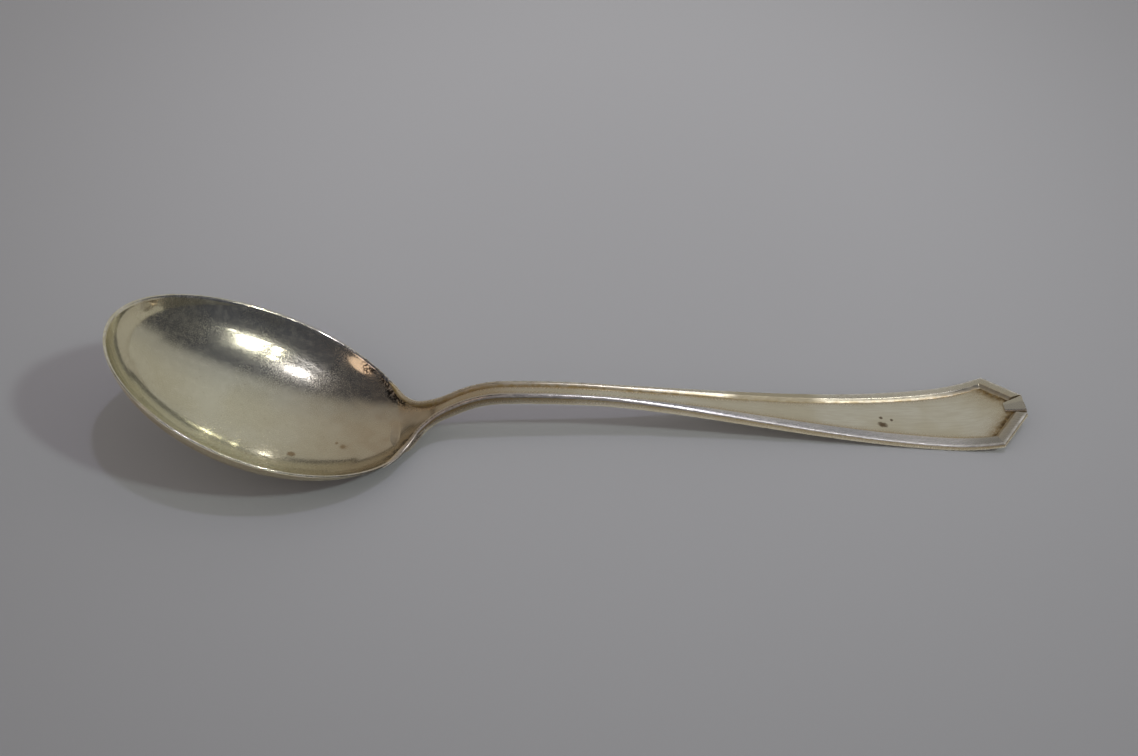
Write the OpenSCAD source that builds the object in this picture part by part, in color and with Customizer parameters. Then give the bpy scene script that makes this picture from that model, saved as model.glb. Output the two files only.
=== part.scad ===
// Soup spoon with an oval bowl and a panelled handle, as it lies on a table.
// The origin is on the table, under the middle of the spoon.
// X runs towards the end of the handle and Z is up.

/* [Overall] */
// Length from the tip of the bowl to the end of the handle, as it lies
overall_length = 178; // [165:1:200]

/* [Bowl] */
// Length of the bowl along its rim, from tip to heel
bowl_length = 62; // [54:1:70]
// Width of the bowl across its rim
bowl_width = 44; // [38:1:50]
// Depth of the bowl from its rim to the outside of its bottom
bowl_depth = 12.2; // [10:0.1:16]
// Thickness of the bowl's wall, which is also the width of its lip
bowl_wall = 1.1; // [0.8:0.1:2]
// Shape of the wall: near 1 it stands upright at the rim, and higher is a flatter dish
bowl_fullness = 1.03; // [1.01:0.01:1.4]
// How far the rim dips at its sides, below a straight line from tip to heel
rim_dip = 1; // [0:0.1:2]
// Slope of the rim, up from heel to tip, in degrees
bowl_tilt = 26; // [18:1:30]
// Depth of the worn flat under the bowl that the spoon rests on
rest_wear = 0.15; // [0.05:0.05:0.3]

/* [Neck] */
// Width of the shoulders where they meet the bowl
shoulder_width = 15; // [10:0.5:20]
// Length of the shoulders along the handle
shoulder_length = 9; // [6:0.5:14]
// Width of the neck at its narrowest
neck_width = 4.5; // [3:0.1:7]
// Distance from the bowl's heel to where the handle starts to widen
neck_length = 36; // [20:1:45]
// Thickness of the neck under its threads
neck_thickness = 1.9; // [1.4:0.1:3]
// Thickness of the neck where it leaves the bowl
heel_thickness = 1.1; // [0.8:0.1:1.6]
// How far the drop, the tongue of the handle under the bowl, reaches in from the rim
drop_length = 5; // [3:0.5:6]
// Width of the drop at its end
drop_width = 2; // [1:0.5:4]
// Thickness of the drop at its end
drop_thickness = 0.25; // [0.15:0.05:0.5]
// Slope of the neck where it leaves the bowl, in degrees
neck_rise = 42; // [25:1:50]
// Height of the back of the handle above the table, at the top of its arch
arch_height = 10.3; // [7:0.1:16]
// Distance from the bowl's heel to the top of the arch
arch_distance = 17; // [12:0.5:30]

/* [Handle] */
// Width across the corners at the end
end_width = 19.4; // [14:0.1:26]
// Thickness of the panel at the end
end_thickness = 1.05; // [0.8:0.05:2]
// How the edges widen: 1 is straight, and higher is more hollow
edge_hollow = 1.4; // [1:0.01:2.2]
// Height of the rounding along the edges of the back
back_round = 0.3; // [0.1:0.05:0.6]
// Distance from the end to where the back touches the table
touch_distance = 17; // [12:0.5:30]
// Depth of the worn flat where the back touches the table
touch_wear = 0.06; // [0.02:0.01:0.12]
// Height of the back at the end, which curls up off the table
end_rise = 3.2; // [1:0.1:6]
// Length of the pointed gable at the end
gable_length = 6.1; // [3:0.1:9]

/* [Mouldings] */
// Height of the threads and end mouldings above the panel
moulding_height = 0.6; // [0.3:0.05:1]
// Width of the edge threads at the neck
thread_width_neck = 1.2; // [0.8:0.1:1.6]
// Width of the edge threads and the end mouldings at the corners
thread_width_end = 2.7; // [1.5:0.1:3.5]
// Width of the keystone at the outer end of the gable
keystone_width = 4.5; // [2:0.1:6]
// Width of the keystone at its inner end
keystone_inner_width = 2.4; // [1:0.1:3]
// Length of the keystone along the handle
keystone_length = 3.9; // [2:0.1:5]
// Width of the groove on each side of the keystone
keystone_groove = 0.4; // [0.2:0.05:0.8]

/* [Hidden] */

silver = [0.80, 0.78, 0.72];
dark_silver = [0.70, 0.68, 0.64];

// How finely the bowl and the handle are divided
bowl_sides = 72;
bowl_rings = 11;
drop_steps = 6;
shoulder_steps = 8;
arch_steps = 12;
shaft_steps = 16;
curl_steps = 5;
straight_steps = 2;
panel_lines = 7;

// Smallest ring of the bowl, as a share of its outline
bowl_pole = 0.04;
// Share of the back's width that is flat
back_flat = 0.55;
// How sharply the shoulders flare out to the bowl
shoulder_hollow = 2.5;
// How fast the drop widens from its end: 1 is a straight taper, and lower is rounder
drop_round = 0.6;
// Length over which the back of the drop stays in line with the neck
drop_turn = 2;
// Gap that keeps the drop off the bowl's facets
seat_gap = 0.05;
// Outline across a thread from its outer edge, as shares of its width and height
thread_shape = [[0, 0.45], [0.12, 0.8], [0.35, 1], [0.6, 0.95], [0.85, 0.5], [1, 0.08]];
// Share of its height that a thread keeps where it meets the bowl's lip
thread_start = 0.5;
// Outline across the keystone, which is flat with a bevel along each side
keystone_shape = [[-1, 0.6], [-0.7, 1], [0.7, 1], [1, 0.6]];
// Length of the straight stretch at the end, which reaches past the gable's inner corners
end_straight = gable_length + thread_width_end * 0.55;
// Distance over which a slope is measured
small_step = 0.01;

// Places along the spoon, from the tip of the bowl
bowl_half = bowl_length / 2;
bowl_middle = bowl_half * cos(bowl_tilt);
heel_x = 2 * bowl_middle;
neck_start_x = heel_x + heel_thickness * sin(neck_rise);
shoulder_x = heel_x + shoulder_length;
arch_x = heel_x + arch_distance;
neck_x = heel_x + neck_length;
touch_x = overall_length - touch_distance;
straight_x = overall_length - end_straight;
corner_x = overall_length - gable_length;
middle_x = overall_length / 2;
point_width = keystone_width + 2 * keystone_groove;

function mix(a, b, t) = a + (b - a) * t;
function part_way(x, from, to) = max(0, min(1, (x - from) / (to - from)));
function ease(t) = t * t * (3 - 2 * t);
function curve(a, b, c, t) = mix(mix(a, b, t), mix(b, c, t), t);
function spread(from, to, count) = [for (i = [0 : count - 1]) mix(from, to, i / count)];
function reversed(list) = [for (i = [len(list) - 1 : -1 : 0]) list[i]];
function joined(lists) = [for (list = lists) each list];

// The bowl is a cap of an ellipsoid. A share is a place between its middle, 0, and its rim, 1.
cap_low = sqrt(pow(bowl_fullness, 2) - 1);
function cap(share) = (sqrt(pow(bowl_fullness, 2) - share * share) - cap_low) / (bowl_fullness - cap_low);

// A point of the tipped bowl, with the middle of its rim at height 0
function tipped(share, angle, inset) =
    let (along = (bowl_half - inset) * share * cos(angle),
         across = (bowl_width / 2 - inset) * share * sin(angle),
         up = -(bowl_depth - inset) * cap(share) - rim_dip * pow(share * sin(angle), 2))
    [bowl_middle + along * cos(bowl_tilt) + up * sin(bowl_tilt),
     across,
     up * cos(bowl_tilt) - along * sin(bowl_tilt)];

// The bowl stands on its lowest point, less what is worn off.
lowest_steps = 200;
bowl_lowest = min([for (i = [1 : lowest_steps]) tipped(i / lowest_steps, 0, 0).z]);
function bowl_point(share, angle, inset = 0) = tipped(share, angle, inset) - [0, 0, bowl_lowest + rest_wear];
heel_z = bowl_point(1, 0).z;

// A point on the bowl's outside, from its share and its distance off the middle
function outside_point(share, across) = bowl_point(share, asin(2 * across / bowl_width / share));

// Rings of the bowl are closer together near the rim.
function ring_share(i) = mix(bowl_pole, 1, sin(90 * i / bowl_rings));
function bowl_ring(share, inset) =
    [for (i = [0 : bowl_sides - 1]) bowl_point(share, 360 * i / bowl_sides, inset)];

// Sizes along the handle
function along_shoulder(x) = ease(part_way(x, neck_start_x, shoulder_x));
function core_thickness(x) =
    x < shoulder_x ? mix(heel_thickness, neck_thickness, along_shoulder(x)) :
    mix(neck_thickness, end_thickness, part_way(x, arch_x, overall_length));
function thread_width(x) =
    mix(thread_width_end, thread_width_neck, pow(1 - part_way(x, neck_x, corner_x), 2));
function thread_height(x) = moulding_height * mix(thread_start, 1, along_shoulder(x));
function shaft_width(x) =
    neck_width
    + (shoulder_width - neck_width) * pow(1 - part_way(x, neck_start_x, shoulder_x), shoulder_hollow)
    + (end_width - neck_width) * pow(part_way(x, neck_x, corner_x), edge_hollow);
function gable_width(x) = mix(end_width, point_width, part_way(x, corner_x, overall_length));
function half_width(x) = (x > corner_x ? gable_width(x) : shaft_width(x)) / 2;

// Height and slope of the back: up the neck, over the arch, down to the table, and up in a curl
neck_start_z = heel_z - heel_thickness * cos(neck_rise);
neck_run = arch_x - neck_start_x;
neck_pull = tan(neck_rise) * neck_run;
curl_run = straight_x - touch_x;
curl_rate = (end_rise + touch_wear) / curl_run / (2 * overall_length - straight_x - touch_x);
function neck_z(t) = mix(neck_start_z, arch_height, ease(t)) + neck_pull * t * pow(1 - t, 2);
function back_z(x) =
    x < arch_x ? neck_z((x - neck_start_x) / neck_run) :
    x < touch_x ? mix(arch_height, -touch_wear, ease(part_way(x, arch_x, touch_x))) :
    x < straight_x ? curl_rate * pow(x - touch_x, 2) - touch_wear :
    curl_rate * curl_run * (2 * x - straight_x - touch_x) - touch_wear;
function back_slope(x) = atan2(back_z(x + small_step) - back_z(x - small_step), 2 * small_step);

// A point of the handle, from its distance off the middle and its height off the back
function handle_point(x, across, up) =
    let (slope = back_slope(x))
    [x - up * sin(slope), across, back_z(x) + up * cos(slope)];

// The top of the neck starts along the bowl's curved rim, and eases away from it along the shoulders.
function rim_offset(share) =
    let (across = half_width(neck_start_x) * share)
    outside_point(1, across) - [heel_x, across, heel_z];
function eased_point(x, share, up) =
    handle_point(x, half_width(x) * share, up) + rim_offset(share) * (1 - along_shoulder(x));

stations = concat(spread(neck_start_x, shoulder_x, shoulder_steps),
                  spread(shoulder_x, neck_x, arch_steps),
                  spread(neck_x, touch_x, shaft_steps),
                  spread(touch_x, straight_x, curl_steps),
                  spread(straight_x, corner_x, straight_steps));

// Lines across the handle's core, from one edge to the other
function panel_share(x) = let (at = min(x, corner_x)) 1 - thread_width(at) / half_width(at);
function core_shares(x) =
    let (panel = panel_share(x))
    concat(-1, spread(-panel, panel, panel_lines), panel, 1);
function back_up(share) = back_round * pow(max(0, abs(share) - back_flat) / (1 - back_flat), 2);
function core_back(x) = [for (share = core_shares(x)) eased_point(x, share, back_up(share))];
function core_top(x) = [for (share = core_shares(x)) eased_point(x, share, core_thickness(x))];

// Lines across the drop, from its end, 0, to the bowl's heel, 1.
// Its top lies on the bowl, and its back turns down from the neck and runs out under the bowl.
drop_share = 1 - drop_length / bowl_half;
function drop_half(t) = mix(drop_width, shoulder_width, pow(t, drop_round)) / 2;
function drop_seat(share, t) = outside_point(mix(drop_share, 1, t), share * drop_half(t)) - [0, 0, seat_gap];
function drop_back(share, t) =
    let (last = drop_seat(share, 0) - [0, 0, drop_thickness],
         first = eased_point(neck_start_x, share, back_up(share)),
         turn = first - drop_turn * [cos(neck_rise), 0, sin(neck_rise)],
         place = curve(last, turn, first, t))
    [place.x, drop_seat(share, t).y, place.z];
function drop_section(t) =
    let (shares = core_shares(neck_start_x))
    section([for (share = shares) drop_back(share, t)], [for (share = shares) drop_seat(share, t)]);

// Lines across a thread, on the core and over its rounded top
function thread_line(x, raised) =
    [for (part = thread_shape)
        eased_point(x, mix(1, panel_share(x), part[0]),
                    core_thickness(x) + raised * thread_height(x) * part[1])];

// The gable's mouldings meet the threads on a mitre, which leans back from the corner.
corner_slope = atan2(half_width(corner_x) - half_width(corner_x - small_step), small_step);
gable_slope = atan2((end_width - point_width) / 2, gable_length);
mitre_lean = tan((gable_slope - corner_slope) / 2);

// Corners of a gable moulding, as [along, across] on the straight end
gable_corner = [corner_x, end_width / 2];
gable_inner_corner = gable_corner - thread_width_end * [mitre_lean, 1];
gable_point = [overall_length, point_width / 2];
gable_run = gable_point - gable_corner;
keystone_slope = (keystone_width - keystone_inner_width) / 2 / keystone_length;
groove_y = gable_point.y - (overall_length - gable_inner_corner.x) * keystone_slope;
gable_share = (groove_y - gable_inner_corner.y) / (gable_run.y - keystone_slope * gable_run.x);
gable_inner_point = gable_inner_corner + gable_share * gable_run;

// A line across a thread or moulding on the straight end, from its outer corner to its inner one
function end_line(outer, inner, raised) =
    [for (part = thread_shape)
        let (place = mix(outer, inner, part[0]))
        handle_point(place.x, place.y, core_thickness(place.x) + raised * moulding_height * part[1])];

function keystone_line(x, width, raised) =
    [for (part = keystone_shape)
        handle_point(x, width / 2 * part[0], core_thickness(x) + raised * moulding_height * part[1])];

function section(bottom, top) = concat(bottom, reversed(top));
function thread_section(x) = section(thread_line(x, 0), thread_line(x, 1));
function end_section(outer, inner) = section(end_line(outer, inner, 0), end_line(outer, inner, 1));

// A closed solid through a list of sections, which are loops with as many points each
module skin(sections) {
    count = len(sections[0]);
    last = (len(sections) - 1) * count;
    sides = [for (i = [0 : len(sections) - 2], j = [0 : count - 1])
        let (a = i * count + j, b = i * count + (j + 1) % count)
        each [[a, a + count, b], [b, a + count, b + count]]];
    ends = [for (j = [0 : count / 2 - 2])
        let (a = j, b = j + 1, c = count - 2 - j, d = count - 1 - j)
        each [[a, b, c], [a, c, d], [last + a, last + c, last + b], [last + a, last + d, last + c]]];
    polyhedron(joined(sections), concat(sides, ends), convexity = 8);
}

// Moves a piece from the tip of the bowl to the origin, on one side of the spoon or the other.
module placed(side = 1) {
    translate([-middle_x, 0, 0])
        mirror([0, side < 0 ? 1 : 0, 0])
            children();
}

// The space below the table, which cuts the worn flats
module below_table() {
    translate([0, -bowl_width, -bowl_depth])
        cube([overall_length, 2 * bowl_width, bowl_depth]);
}

// The oval bowl, with a worn flat on its underside
module bowl() {
    outside = [for (i = [0 : bowl_rings]) bowl_ring(ring_share(i), 0)];
    inside = [for (i = [bowl_rings : -1 : 0]) bowl_ring(ring_share(i), bowl_wall)];
    color(silver)
        placed()
            difference() {
                skin(concat(outside, inside));
                below_table();
            }
}

// The neck, the shaft and the panel at its end, without their raised edges
module handle() {
    places = concat(stations, [corner_x, overall_length]);
    drop = [for (t = spread(0, 1, drop_steps)) drop_section(t)];
    bar = [for (x = places) section(core_back(x), core_top(x))];
    color(silver)
        placed()
            difference() {
                skin(concat(drop, bar));
                below_table();
            }
}

// The raised round edging along one side of the handle
module edge_thread(side) {
    loops = [for (x = stations) thread_section(x)];
    mitre = end_section(gable_corner, gable_inner_corner);
    color(dark_silver)
        placed(side)
            skin(concat(loops, [mitre]));
}

// The bar on one slope of the gable, from the mitre to the groove beside the keystone
module end_moulding(side) {
    mitre = end_section(gable_corner, gable_inner_corner);
    foot = end_section(gable_point, gable_inner_point);
    color(dark_silver)
        placed(side)
            skin([mitre, foot]);
}

module left_edge_thread() {
    edge_thread(-1);
}

module right_edge_thread() {
    edge_thread(1);
}

module left_end_moulding() {
    end_moulding(-1);
}

module right_end_moulding() {
    end_moulding(1);
}

// The wedge at the point of the gable
module keystone() {
    ends = [[overall_length - keystone_length, keystone_inner_width], [overall_length, keystone_width]];
    color(silver)
        placed()
            skin([for (end = ends)
                section(keystone_line(end[0], end[1], 0), keystone_line(end[0], end[1], 1))]);
}

bowl();
handle();
left_edge_thread();
right_edge_thread();
left_end_moulding();
right_end_moulding();
keystone();
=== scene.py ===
"""A silver soup spoon with an oval bowl and a panelled handle, lying on a pale table.

Shapes are worked out in millimetres from the tip of the bowl, with X towards the end of the
handle, and are moved to the frame, in metres, when a piece is made.
"""
import math

import bpy
import numpy as np
from mathutils import Matrix, Vector


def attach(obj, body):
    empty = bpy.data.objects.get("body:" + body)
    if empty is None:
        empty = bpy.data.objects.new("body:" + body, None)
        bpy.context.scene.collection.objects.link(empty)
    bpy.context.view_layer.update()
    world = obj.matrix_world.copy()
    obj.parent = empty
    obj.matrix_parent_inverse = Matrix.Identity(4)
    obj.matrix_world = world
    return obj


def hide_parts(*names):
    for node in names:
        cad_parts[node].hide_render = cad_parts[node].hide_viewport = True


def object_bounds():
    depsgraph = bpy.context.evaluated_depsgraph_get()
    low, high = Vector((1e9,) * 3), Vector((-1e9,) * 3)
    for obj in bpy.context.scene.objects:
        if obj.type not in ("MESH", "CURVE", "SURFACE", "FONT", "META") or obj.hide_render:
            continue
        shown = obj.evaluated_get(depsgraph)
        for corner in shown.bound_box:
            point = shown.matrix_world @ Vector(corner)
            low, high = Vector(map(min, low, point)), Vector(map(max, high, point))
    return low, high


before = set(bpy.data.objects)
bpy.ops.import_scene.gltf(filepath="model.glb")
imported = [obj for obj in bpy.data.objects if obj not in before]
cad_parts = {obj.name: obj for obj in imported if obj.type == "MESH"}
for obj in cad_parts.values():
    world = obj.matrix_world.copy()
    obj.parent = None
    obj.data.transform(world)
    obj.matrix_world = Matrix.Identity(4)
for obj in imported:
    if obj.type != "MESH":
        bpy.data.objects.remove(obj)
cad_low, cad_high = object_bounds()

MM = 0.001

# Sizes of the bowl, in millimetres and radians
OVERALL_LENGTH = (cad_high.x - cad_low.x) / MM
BOWL_LENGTH = 62
BOWL_WIDTH = (cad_high.y - cad_low.y) / MM
BOWL_DEPTH = 12.2
BOWL_WALL = 1.1
BOWL_FULLNESS = 1.03
RIM_DIP = 1
BOWL_TILT = math.radians(26)
REST_WEAR = 0.15
LIP_WALL = 0.65
LIP_SHARE = 0.007
THINNING_SHARE = 0.8

# Sizes of the neck and of the drop, its tongue under the bowl
SHOULDER_WIDTH = 15
SHOULDER_LENGTH = 9
SHOULDER_HOLLOW = 2.5
NECK_WIDTH = 4.5
NECK_LENGTH = 36
NECK_THICKNESS = 1.9
NECK_RISE = math.radians(42)
HEEL_THICKNESS = 1.1
ARCH_HEIGHT = 10.3
ARCH_DISTANCE = 17
DROP_LENGTH = 5
DROP_WIDTH = 2
DROP_THICKNESS = 0.25
DROP_ROUND = 0.6
DROP_TURN = 2

# Sizes of the handle and its mouldings
END_WIDTH = 19.4
END_THICKNESS = 1.05
EDGE_HOLLOW = 1.4
BACK_ROUND = 0.15
BACK_FLAT = 0.55
TOUCH_DISTANCE = 17
TOUCH_WEAR = 0.06
END_RISE = 3.2
GABLE_LENGTH = 6.1
MOULDING_HEIGHT = 0.6
THREAD_WIDTH_NECK = 1.2
THREAD_WIDTH_END = 2.7
KEYSTONE_WIDTH = 4.5
KEYSTONE_INNER_WIDTH = 2.4
KEYSTONE_LENGTH = 3.9
KEYSTONE_GROOVE = 0.4
# The straight end starts before the corners by this share of a thread's width
STRAIGHT_LEAD = 0.55

# Places along the spoon, from the tip of the bowl
SMALL_STEP = 0.01
BOWL_HALF = BOWL_LENGTH / 2
BOWL_MIDDLE = BOWL_HALF * math.cos(BOWL_TILT)
HEEL_X = 2 * BOWL_MIDDLE
NECK_START_X = HEEL_X + HEEL_THICKNESS * math.sin(NECK_RISE)
SHOULDER_X = HEEL_X + SHOULDER_LENGTH
ARCH_X = HEEL_X + ARCH_DISTANCE
NECK_X = HEEL_X + NECK_LENGTH
TOUCH_X = OVERALL_LENGTH - TOUCH_DISTANCE
CORNER_X = OVERALL_LENGTH - GABLE_LENGTH
STRAIGHT_X = CORNER_X - STRAIGHT_LEAD * THREAD_WIDTH_END
POINT_WIDTH = KEYSTONE_WIDTH + 2 * KEYSTONE_GROOVE


def mix(a, b, t):
    return a + (b - a) * t


def part_way(x, start, end):
    return np.clip((x - start) / (end - start), 0, 1)


def ease(t):
    return t * t * (3 - 2 * t)


def curve(a, b, c, t):
    return mix(mix(a, b, t), mix(b, c, t), t)


def point(x, y, z):
    return np.stack(np.broadcast_arrays(x, y, z), -1)


def unit(vectors):
    return vectors / np.linalg.norm(vectors, axis=-1, keepdims=True)


# The bowl is a cap of an ellipsoid. A share is a place between its middle, 0, and its rim, 1.
CAP_LOW = math.sqrt(BOWL_FULLNESS ** 2 - 1)
LOWEST_STEPS = 200


def cap(share):
    return (np.sqrt(BOWL_FULLNESS ** 2 - share * share) - CAP_LOW) / (BOWL_FULLNESS - CAP_LOW)


def tipped(share, angle, inset):
    """A point of the tilted bowl, before it is moved down to the table."""
    along = (BOWL_HALF - inset) * share * np.cos(angle)
    across = (BOWL_WIDTH / 2 - inset) * share * np.sin(angle)
    up = -(BOWL_DEPTH - inset) * cap(share) - RIM_DIP * (share * np.sin(angle)) ** 2
    x = BOWL_MIDDLE + along * math.cos(BOWL_TILT) + up * math.sin(BOWL_TILT)
    return point(x, across, up * math.cos(BOWL_TILT) - along * math.sin(BOWL_TILT))


BOWL_LOWEST = tipped(np.linspace(0, 1, LOWEST_STEPS), 0, 0)[:, 2].min()


def bowl_point(share, angle, inset=0):
    return tipped(share, angle, inset) - np.array([0, 0, BOWL_LOWEST + REST_WEAR])


def across_point(share, across, inset=0):
    """A point of the bowl's heel half, from its share and its distance off the middle."""
    return bowl_point(share, np.arcsin(across / (BOWL_WIDTH / 2 - inset) / share), inset)


def wall_at(share):
    """Thickness of the bowl, which thins towards the lip."""
    return mix(BOWL_WALL, LIP_WALL, part_way(share, THINNING_SHARE, 1))


HEEL_Z = bowl_point(1, 0)[2]
NECK_START_Z = HEEL_Z - HEEL_THICKNESS * math.cos(NECK_RISE)
NECK_RUN = ARCH_X - NECK_START_X
CURL_RUN = STRAIGHT_X - TOUCH_X
CURL_RATE = (END_RISE + TOUCH_WEAR) / CURL_RUN / (2 * OVERALL_LENGTH - STRAIGHT_X - TOUCH_X)


def along_shoulder(x):
    return ease(part_way(x, NECK_START_X, SHOULDER_X))


def core_thickness(x):
    neck = mix(HEEL_THICKNESS, NECK_THICKNESS, along_shoulder(x))
    shaft = mix(NECK_THICKNESS, END_THICKNESS, part_way(x, ARCH_X, OVERALL_LENGTH))
    return np.where(x < SHOULDER_X, neck, shaft)


def thread_width(x):
    return mix(THREAD_WIDTH_END, THREAD_WIDTH_NECK, (1 - part_way(x, NECK_X, CORNER_X)) ** 2)


def half_width(x):
    flare = (1 - part_way(x, NECK_START_X, SHOULDER_X)) ** SHOULDER_HOLLOW
    widening = part_way(x, NECK_X, CORNER_X) ** EDGE_HOLLOW
    shaft = NECK_WIDTH + (SHOULDER_WIDTH - NECK_WIDTH) * flare + (END_WIDTH - NECK_WIDTH) * widening
    gable = mix(END_WIDTH, POINT_WIDTH, part_way(x, CORNER_X, OVERALL_LENGTH))
    return np.where(x > CORNER_X, gable, shaft) / 2


def panel_share(x):
    """Share of the half width that lies between the threads."""
    at = np.minimum(x, CORNER_X)
    return 1 - thread_width(at) / half_width(at)


def back_z(x):
    """Height of the back: up the neck, over the arch, down to the table, and up in a curl."""
    t = (x - NECK_START_X) / NECK_RUN
    neck = mix(NECK_START_Z, ARCH_HEIGHT, ease(t)) + math.tan(NECK_RISE) * NECK_RUN * t * (1 - t) ** 2
    shaft = mix(ARCH_HEIGHT, -TOUCH_WEAR, ease(part_way(x, ARCH_X, TOUCH_X)))
    curl = CURL_RATE * (x - TOUCH_X) ** 2 - TOUCH_WEAR
    end = CURL_RATE * CURL_RUN * (2 * x - STRAIGHT_X - TOUCH_X) - TOUCH_WEAR
    return np.where(x < ARCH_X, neck, np.where(x < TOUCH_X, shaft, np.where(x < STRAIGHT_X, curl, end)))


def back_slope(x):
    return np.arctan2(back_z(x + SMALL_STEP) - back_z(x - SMALL_STEP), 2 * SMALL_STEP)


def handle_point(x, across, up):
    """A point of the handle, from its distance off the middle and its height off the back."""
    slope = back_slope(x)
    return point(x - up * np.sin(slope), across, back_z(x) + up * np.cos(slope))


def eased_point(x, share, up):
    """A point of the handle from its share of the half width, eased away from the bowl's curved rim."""
    across = half_width(NECK_START_X) * share
    rim_offset = across_point(1, across) - point(HEEL_X, across, HEEL_Z)
    fade = np.asarray(1 - along_shoulder(x))[..., None]
    return handle_point(x, half_width(x) * share, up) + rim_offset * fade


def top_point(x, share):
    return eased_point(x, share, core_thickness(x))


# The top of the neck flows out of the bowl: it leaves the inside a little below the lip,
# passes over the lip in one smooth curve and joins the line of the neck. Its edges start
# deep in the wall of the bowl, so that they come out of it gently.
FLOW_SHARE = 0.95
FLOW_WIDTH = 17.8
FLOW_LENGTH = 4.5
FLOW_END_X = HEEL_X + FLOW_LENGTH
FLOW_SINK = 0.03
FLOW_DIVE = 0.9
FLOW_DIVE_POWER = 4
FLOW_PULL_IN = 3.4
FLOW_PULL_OUT = 4.2
# Share of the flow that lies inside the rim
FLOW_RIM = 0.38


def flow_point(share, t):
    """The top of the flow, from the inside of the bowl, 0, to the neck, 1."""
    across = FLOW_WIDTH / 2 * share
    first = across_point(FLOW_SHARE, across, wall_at(FLOW_SHARE))
    further = FLOW_SHARE + SMALL_STEP
    ahead = unit(across_point(further, across, wall_at(further)) - first)
    last = top_point(FLOW_END_X, share)
    onward = unit(last - top_point(FLOW_END_X - SMALL_STEP, share))
    place = (first * (1 + 2 * t) * (1 - t) ** 2 + FLOW_PULL_IN * ahead * t * (1 - t) ** 2
             + last * t * t * (3 - 2 * t) - FLOW_PULL_OUT * onward * t * t * (1 - t))
    sink = FLOW_SINK * (1 - ease(t)) + FLOW_DIVE * share ** FLOW_DIVE_POWER * (1 - t)
    return place - point(0, 0, sink)


# Making pieces
ROUND_STEPS = 5
SHARP_ANGLE = math.radians(35)


def rounded(before, corner, after):
    """Points of a rounded corner, from the place before it to the place after it."""
    return [curve(before, corner, after, t) for t in np.linspace(0, 1, ROUND_STEPS + 1)]


def new_piece(name, points, faces, material, recess_and_shade, wear):
    """A mesh in the frame from points in millimetres, smooth where its faces meet gently.

    For each point, the recess and shade value says how far it lies in a corner, where tarnish stays,
    and on the bowl how much painted shade lies outside towards the lip, and the dark line inside it; wear
    says how bright it is rubbed, both from 0 to 1.
    """
    moved = (points - np.array([OVERALL_LENGTH / 2, 0, 0])) * MM
    mesh = bpy.data.meshes.new(name)
    mesh.from_pydata(moved.tolist(), [], faces)
    mesh.polygons.foreach_set("use_smooth", [True] * len(mesh.polygons))
    mesh.set_sharp_from_angle(angle=SHARP_ANGLE)
    for key, values in (("recess_and_shade", recess_and_shade), ("wear", wear)):
        mesh.attributes.new(key, "FLOAT", "POINT").data.foreach_set("value", values.astype(np.float32))
    mesh.materials.append(material)
    piece = bpy.data.objects.new(name, mesh)
    bpy.context.scene.collection.objects.link(piece)
    return piece


def skin(loops, flipped=False):
    """Points and faces of a closed solid through loops with as many points each."""
    count = len(loops[0])
    last = (len(loops) - 1) * count
    faces = [tuple(range(count)), tuple(last + j for j in reversed(range(count)))]
    for low in range(0, last, count):
        for j in range(count):
            after = (j + 1) % count
            faces.append((low + j, low + count + j, low + count + after, low + after))
    if flipped:
        faces = [face[::-1] for face in faces]
    return np.concatenate(loops), faces


def install(piece, node):
    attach(piece, "root")
    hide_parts(node)


# Bowl
BOWL_SIDES = 224
BOWL_RINGS = 48
FIRST_RING_ANGLE = 0.01
LIP_STEPS = 15
# A darker line lies just inside the lip. On the outside, painted shade with some brown tarnish grows from
# one share to another
INNER_LINE_SHARE = 0.972
INNER_LINE_REACH = 0.018
INNER_LINE_MOST = 0.12
UNDER_LIP_START = 0.4
UNDER_LIP_END = 0.85


def bowl_shares():
    """Shares of the rings below the lip, closest together near it."""
    return (1 - LIP_SHARE) * np.sin(np.linspace(FIRST_RING_ANGLE, math.pi / 2, BOWL_RINGS))[:-1]


def bowl_rings():
    """Rings of the shell up its outside, over the rounded lip and down its inside."""
    angles = np.linspace(0, 2 * math.pi, BOWL_SIDES, endpoint=False)
    outside = [bowl_point(share, angles) for share in bowl_shares()]
    lip = []
    for turn in np.linspace(0, math.pi, LIP_STEPS):
        inset = LIP_WALL * (1 - math.cos(turn)) / 2
        lip.append(bowl_point(1 - LIP_SHARE * (1 - math.sin(turn)), angles, inset))
    inside = [bowl_point(share, angles, wall_at(share)) for share in bowl_shares()[::-1]]
    return outside + lip + inside


def on_rings(values):
    """A value for each point of the bowl from one for each ring, and 0 at its two poles."""
    return np.append(np.repeat(values, BOWL_SIDES), [0, 0])


def make_bowl(material):
    rings = bowl_rings()
    points = np.concatenate(rings + [bowl_point(0, 0)[None], bowl_point(0, 0, BOWL_WALL)[None]])
    points[:, 2] = np.maximum(points[:, 2], 0)
    outer_pole = len(points) - 2
    inner_pole = len(points) - 1
    last = (len(rings) - 1) * BOWL_SIDES
    faces = []
    for j in range(BOWL_SIDES):
        after = (j + 1) % BOWL_SIDES
        faces.append((outer_pole, after, j))
        faces.append((inner_pole, last + j, last + after))
        for low in range(0, last, BOWL_SIDES):
            faces.append((low + j, low + after, low + BOWL_SIDES + after, low + BOWL_SIDES + j))
    plain = np.zeros(BOWL_RINGS - 1)
    wear = np.concatenate([plain, np.ones(LIP_STEPS), plain])
    # Painted shade with some brown tarnish on the outside towards the lip, and a darker line just inside the
    # lip
    under_lip_shade = ease(part_way(bowl_shares(), UNDER_LIP_START, UNDER_LIP_END))
    inside_lip = INNER_LINE_MOST * np.exp(-((bowl_shares()[::-1] - INNER_LINE_SHARE) / INNER_LINE_REACH) ** 2)
    recess_and_shade = np.concatenate([under_lip_shade, np.zeros(LIP_STEPS), inside_lip])
    return new_piece("bowl_shell", points, faces, material, on_rings(recess_and_shade), on_rings(wear))


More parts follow.
